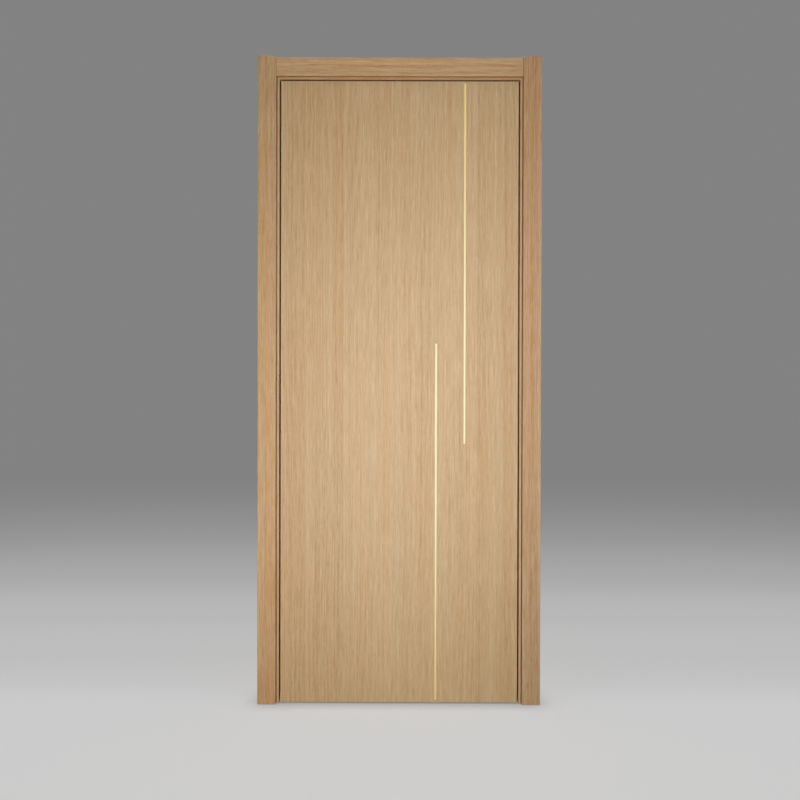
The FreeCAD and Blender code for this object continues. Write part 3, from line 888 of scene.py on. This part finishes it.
def soft_box(name, box, radiance, receivers=None, lights=True, mirrored=True):
    """A lamp that the camera doesn't see. It may light surfaces, be mirrored in them, or both."""
    data = bpy.data.lights.new(name, "AREA")
    data.shape = "RECTANGLE"
    data.size = box.width
    data.size_y = box.height
    data.energy = radiance * math.pi * box.width * box.height
    lamp = bpy.data.objects.new(name, data)
    bpy.context.scene.collection.objects.link(lamp)
    facing = (Vector(box.aim) - Vector(box.place)).to_track_quat("-Z", "Y").to_matrix().to_4x4()
    lamp.matrix_world = Matrix.Translation(box.place) @ facing @ Matrix.Rotation(box.roll, 4, "Z")
    lamp.light_linking.receiver_collection = receivers
    lamp.visible_camera = False
    lamp.visible_diffuse = lights
    lamp.visible_glossy = mirrored


def door_pieces():
    """Every piece of the door, gathered before there is a floor, for the lamps that light nothing else."""
    pieces = bpy.data.collections.new("door_pieces")
    for piece in bpy.context.scene.objects:
        if piece.type == "MESH":
            pieces.objects.link(piece)
    return pieces


# the floor's half width, and how far it lies below the door's foot
FLOOR_HALF = 60.0
FLOOR_DROP = 0.0004
# how far in front of the door, and to either side of its middle, the floor is at its palest
PALE_FLOOR = 1.6
# how far beyond that it reaches the backdrop's grey, and how much of the pale tone is left on the way
FADE_REACH = 9.0
FADE_STOPS = (
    (0.0, 1.0), (0.066, 0.72), (0.146, 0.44), (0.259, 0.279),
    (0.436, 0.14), (0.56, 0.08), (0.744, 0.027), (1.0, 0.0),
)
# how much of the pale floor's light falls on it, and so takes shadow, while the rest glows evenly, and
# between which distances beyond the palest part that ends
SHADOW_SHARE = 0.40
SHADOW_ENDS = (0.2, 1.8)
# how far out the floor darkens where a piece stands on it or hangs close above it, and how much
FOOT_REACH = 0.09
FOOT_SHADE = 0.60
FOOT_SAMPLES = 8


def floor_material(stage):
    """Palest around the door's front, and fading to the backdrop's grey far behind, before and beside it."""
    finish = Finish.material("studio_floor")
    x, y, _ = finish.place()
    behind = y.largest(-PALE_FLOOR - y).largest(0.0)
    beside = (abs(x - MIDDLE_X) - PALE_FLOOR).largest(0.0)
    away = (behind * behind + beside * beside) ** 0.5
    pale = finish.add("ShaderNodeValToRGB", {"stops": FADE_STOPS}, {"Fac": away / FADE_REACH}, "Color")
    lit = finish.mixed(pale, opaque(stage.backdrop_colour), opaque(stage.floor_colour))
    matt = finish.add("ShaderNodeBsdfDiffuse", inputs={"Color": opaque(stage.floor_paint)})
    glow = finish.add("ShaderNodeEmission", inputs={"Color": lit})
    near = (1 - away.rise(*SHADOW_ENDS)) * SHADOW_SHARE
    blend = finish.add("ShaderNodeMixShader", inputs={0: near, 1: glow, 2: matt})
    open_share = finish.add(
        "ShaderNodeAmbientOcclusion", {"samples": FOOT_SAMPLES}, {"Distance": FOOT_REACH}, "AO"
    )
    dark = finish.add("ShaderNodeEmission", inputs={"Strength": 0.0})
    blend = finish.add("ShaderNodeMixShader", inputs={0: (1 - open_share) * FOOT_SHADE, 1: blend, 2: dark})
    bounce = finish.add("ShaderNodeEmission", inputs={"Color": opaque(stage.bounce_colour)})
    shown = finish.add("ShaderNodeMixShader", inputs={0: seen_directly(finish), 1: bounce, 2: blend})
    finish.add("ShaderNodeOutputMaterial", inputs={"Surface": shown})
    return finish.owner


def studio_floor(stage):
    """The floor, just below the door's foot."""
    shape = bmesh.new()
    bmesh.ops.create_grid(shape, x_segments=1, y_segments=1, size=FLOOR_HALF)
    bmesh.ops.translate(shape, vec=(0.0, 0.0, -FLOOR_DROP), verts=shape.verts)
    mesh = bpy.data.meshes.new("studio_floor")
    shape.to_mesh(mesh)
    shape.free()
    mesh.materials.append(floor_material(stage))
    floor = bpy.data.objects.new("studio_floor", mesh)
    bpy.context.scene.collection.objects.link(floor)


def seen_directly(finish):
    """1 where the camera, metal or glass looks, 0 where only light is gathered."""
    camera_ray, glossy, through = finish.add(
        "ShaderNodeLightPath", outputs=("Is Camera Ray", "Is Glossy Ray", "Is Transmission Ray")
    )
    return camera_ray.largest(glossy).largest(through)


def backdrop(stage):
    """Even room light, seen by the camera, metal and glass as a plain grey."""
    world = bpy.data.worlds.new("studio")
    bpy.context.scene.world = world
    finish = Finish(world)
    seen = seen_directly(finish)
    light = finish.add("ShaderNodeBackground", inputs={"Strength": stage.sky_strength})
    grey = finish.add(
        "ShaderNodeBackground", inputs={"Color": opaque(stage.backdrop_colour), "Strength": 1.0}
    )
    blend = finish.add("ShaderNodeMixShader", inputs={0: seen, 1: light, 2: grey})
    finish.add("ShaderNodeOutputWorld", inputs={"Surface": blend})


# Operators

# how far the grain of each piece is shifted, so that no two boards look alike
FACE_SHIFT = 0.31
STILE_SHIFT = 1.3
RAIL_SHIFT = 2.1
BOARD_SHIFT = 0.37
SIDE_SHIFT = 1.71


class DOOR_OT_leaf(bpy.types.Operator):
    """Veneers the leaf's faces, edges and core"""

    bl_idname = "door.leaf"
    bl_label = "Veneer the leaf"

    def execute(self, context):
        wood = context.scene.door_wood
        for number, face in enumerate(("front", "back")):
            shift = FACE_SHIFT * number
            veneer = oak(f"leaf_veneer_{face}", wood.leaf_colour, wood, shift=shift, sheets=True)
            dress(f"leaf_skin_{face}", veneer)
        edge = oak("leaf_edge_upright", wood.leaf_colour, wood, shift=STILE_SHIFT)
        for side in ("hinge_side", "lock_side"):
            dress(f"leaf_stile_{side}", edge)
        rail = oak("leaf_edge_across", wood.leaf_colour, wood, along="X", shift=RAIL_SHIFT)
        for end in ("top", "bottom"):
            dress(f"leaf_rail_{end}", rail)
        dress("leaf_core", core_board("core_board", wood))
        return {"FINISHED"}


class DOOR_OT_frame(bpy.types.Operator):
    """Veneers jambs, extensions, stops and casings, each board with its own grain"""

    bl_idname = "door.frame"
    bl_label = "Veneer the frame"

    def execute(self, context):
        wood = context.scene.door_wood
        colours = {
            "casing_front_hinge_side": wood.hinge_casing_colour,
            "casing_front_head": wood.head_casing_colour,
        }
        for row, board in enumerate(FRAME_BOARDS):
            for column, side in enumerate(SIDES):
                name = f"{board}_{side}"
                veneer = oak(
                    f"veneer_{name}",
                    colours.get(name, wood.frame_colour),
                    wood,
                    along="X" if side == "head" else "Z",
                    shift=BOARD_SHIFT * row + SIDE_SHIFT * column,
                    figure=FRAME_FIGURE,
                    warmth=FRAME_WARMTH,
                    joints=PAINTED_JOINT_SHADES.get(name, ()),
                )
                dress(name, veneer)
        return {"FINISHED"}


class DOOR_OT_inlays(bpy.types.Operator):
    """Finishes the four brass inlays"""

    bl_idname = "door.inlays"
    bl_label = "Brush the inlays"

    def execute(self, context):
        brass = brushed_brass("inlay_brass", context.scene.door_hardware)
        for face in ("front", "back"):
            for part in ("upper", "lower"):
                dress(f"inlay_{face}_{part}", brass)
        return {"FINISHED"}


class DOOR_OT_seals(bpy.types.Operator):
    """Finishes the rubber seals"""

    bl_idname = "door.seals"
    bl_label = "Finish the seals"

    def execute(self, context):
        rubber = seal_rubber("seal_rubber", context.scene.door_hardware)
        for side in SIDES:
            dress(f"seal_{side}", rubber)
        return {"FINISHED"}


class DOOR_OT_hinges(bpy.types.Operator):
    """Finishes the concealed hinges and fits their screws"""

    bl_idname = "door.hinges"
    bl_label = "Finish the hinges"

    def execute(self, context):
        hardware = context.scene.door_hardware
        paint = hinge_paint("hinge_paint", hardware)
        steel = brushed_steel("hinge_steel", hardware)
        for where in HINGES:
            for side, outward in (("frame", 1.0), ("leaf", -1.0)):
                plate = f"hinge_{where}_{side}_body"
                dress(plate, paint)
                hinge_screws(f"hinge_{where}_{side}_screws", plate, outward, side, steel, hardware)
            dress(f"hinge_{where}_frame_arms", steel)
            dress(f"hinge_{where}_leaf_arm", steel)
        return {"FINISHED"}


class DOOR_OT_stage(bpy.types.Operator):
    """Sets up the floor, the backdrop, the lamps and the camera"""

    bl_idname = "door.stage"
    bl_label = "Set up the studio"

    def execute(self, context):
        stage = context.scene.door_stage
        door = door_pieces()
        studio_floor(stage)
        backdrop(stage)
        for word, side, level in (("front", -1.0, stage.front_level), ("back", 1.0, stage.back_level)):
            soft_box(f"{word}_key", on_side(KEY_BOX, side), level, door, mirrored=False)
            soft_box(f"{word}_low", on_side(LOW_BOX, side), level * LOW_SHARE, door, mirrored=False)
            soft_box(f"{word}_card", on_side(CARD, side), stage.card_level, lights=False)
            soft_box(f"{word}_wall", on_side(WALL, side), stage.wall_level, lights=False)
        for word, box in SIDE_BOXES.items():
            soft_box(f"{word}_side_box", box, stage.side_level, door)
        soft_box("top_box", TOP_BOX, stage.top_level)
        camera()
        context.scene.view_settings.view_transform = "Standard"
        return {"FINISHED"}


class DOOR_PT_panel(bpy.types.Panel):
    """Finishes and studio of the door"""

    bl_idname = "DOOR_PT_panel"
    bl_label = "Interior door"
    bl_space_type = "VIEW_3D"
    bl_region_type = "UI"
    bl_category = "Door"

    def draw(self, context):
        layout = self.layout
        for settings in (context.scene.door_wood, context.scene.door_hardware, context.scene.door_stage):
            box = layout.box()
            for word in settings.bl_rna.properties.keys():
                if word not in ("rna_type", "name"):
                    box.prop(settings, word)
        for operator in OPERATORS:
            layout.operator(operator.bl_idname)


SETTINGS = {"door_wood": DoorWood, "door_hardware": DoorHardware, "door_stage": DoorStage}
OPERATORS = (DOOR_OT_leaf, DOOR_OT_frame, DOOR_OT_inlays, DOOR_OT_seals, DOOR_OT_hinges, DOOR_OT_stage)


def register():
    for item in (*SETTINGS.values(), *OPERATORS, DOOR_PT_panel):
        bpy.utils.register_class(item)
    for word, group in SETTINGS.items():
        setattr(bpy.types.Scene, word, bpy.props.PointerProperty(type=group))


def unregister():
    for word in SETTINGS:
        delattr(bpy.types.Scene, word)
    for item in reversed((*SETTINGS.values(), *OPERATORS, DOOR_PT_panel)):
        bpy.utils.unregister_class(item)


def main():
    register()
    bpy.ops.door.leaf()
    bpy.ops.door.frame()
    bpy.ops.door.inlays()
    bpy.ops.door.seals()
    bpy.ops.door.hinges()
    bpy.ops.door.stage()


if __name__ == "__main__":
    main()
